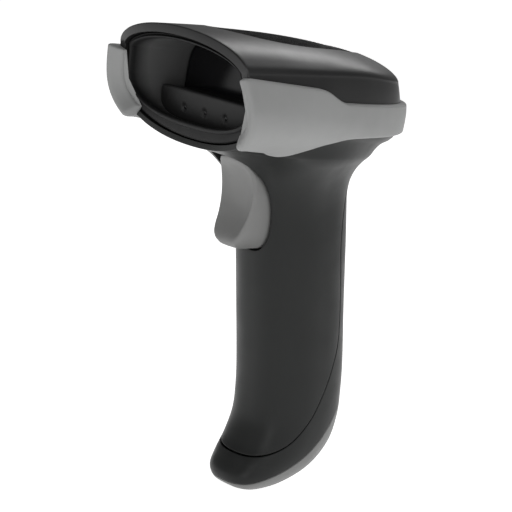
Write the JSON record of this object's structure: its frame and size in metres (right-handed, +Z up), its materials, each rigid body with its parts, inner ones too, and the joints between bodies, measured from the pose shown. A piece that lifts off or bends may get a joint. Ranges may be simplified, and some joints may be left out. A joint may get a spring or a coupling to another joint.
{
  "type": "handheld barcode scanner",
  "caption": "Cordless pistol-grip barcode scanner: blunt head with a recessed scan window and rubber bumper, raked handle, hinged trigger, and charging contacts in the sole.",
  "frame": {"origin": "bottom centre of the scanner's bounding box, under the middle of its length, at the lowest point of the handle's sole", "axes": "+Z up along the handle towards the head; the nose with the scan window faces -Y; X is across the width and X = 0 is the plane of symmetry"},
  "size_m": [0.0756, 0.1057, 0.1713],
  "materials": {
    "gloss_black": "polished injection-moulded black plastic",
    "satin_black": "fine-grained black plastic",
    "matt_black": "matt black plastic",
    "light_grey": "satin mid-grey plastic",
    "rubber_grey": "soft-touch grey elastomer",
    "dark_rubber": "black sealing rubber",
    "smoked": "polished smoked acrylic",
    "casting": "die-cast, unpolished",
    "steel": "zinc-plated steel",
    "gold": "gold-plated contacts",
    "board_green": "solder-masked circuit board",
    "chip_black": "moulded component body",
    "led_white": "clear and white light-emitting diodes",
    "cell_blue": "shrink sleeve of a battery cell"
  },
  "bodies": {
    "housing": {"top_cover": "gloss_black", "top_grille": "matt_black", "front_shell": "satin_black", "rear_shell": "satin_black", "base_cap": "light_grey", "bumper": "rubber_grey", "nose_bezel": "matt_black", "chin_ledge": "matt_black", "led_lens_left": "smoked", "led_lens_middle": "smoked", "led_lens_right": "smoked", "scan_window": "smoked", "window_gasket": "dark_rubber", "scan_engine": "casting", "engine_lens": "smoked", "engine_bracket": "steel", "illumination_board": "board_green", "led_left": "led_white", "led_middle": "led_white", "led_right": "led_white", "main_board": "board_green", "decoder_chip": "chip_black", "sounder": "chip_black", "status_led": "led_white", "board_screw_left": "steel", "board_screw_right": "steel", "trigger_pin": "steel", "trigger_frame": "steel", "switch_board": "board_green", "trigger_switch": "chip_black", "trigger_spring": "steel", "battery_cell": "cell_blue", "battery_cradle": "matt_black", "contact_board": "board_green", "contact_left": "gold", "contact_right": "gold", "handle_screw_1": "steel", "handle_screw_2": "steel"},
    "trigger": {"trigger": "light_grey"},
    "plunger": {"switch_plunger": "light_grey"}
  },
  "joints": [
    {"name": "trigger_pull", "type": "hinge", "parent": "housing", "child": "trigger", "pos_m": [0, -0.00562, 0.1276], "axis": [1, 0, 0], "range_deg": [0, 6], "stiffness_Nm_per_rad": 0.4, "springref_deg": -5.73, "deforming": ["trigger_spring"]},
    {"name": "plunger_slide", "type": "slide", "parent": "housing", "child": "plunger", "axis": [0, 1, 0], "range_m": [0, 0.0027]}
  ],
  "couplings": [
    {"joint": "plunger_slide", "follows": "trigger_pull", "m_per_rad": 0.0255}
  ]
}
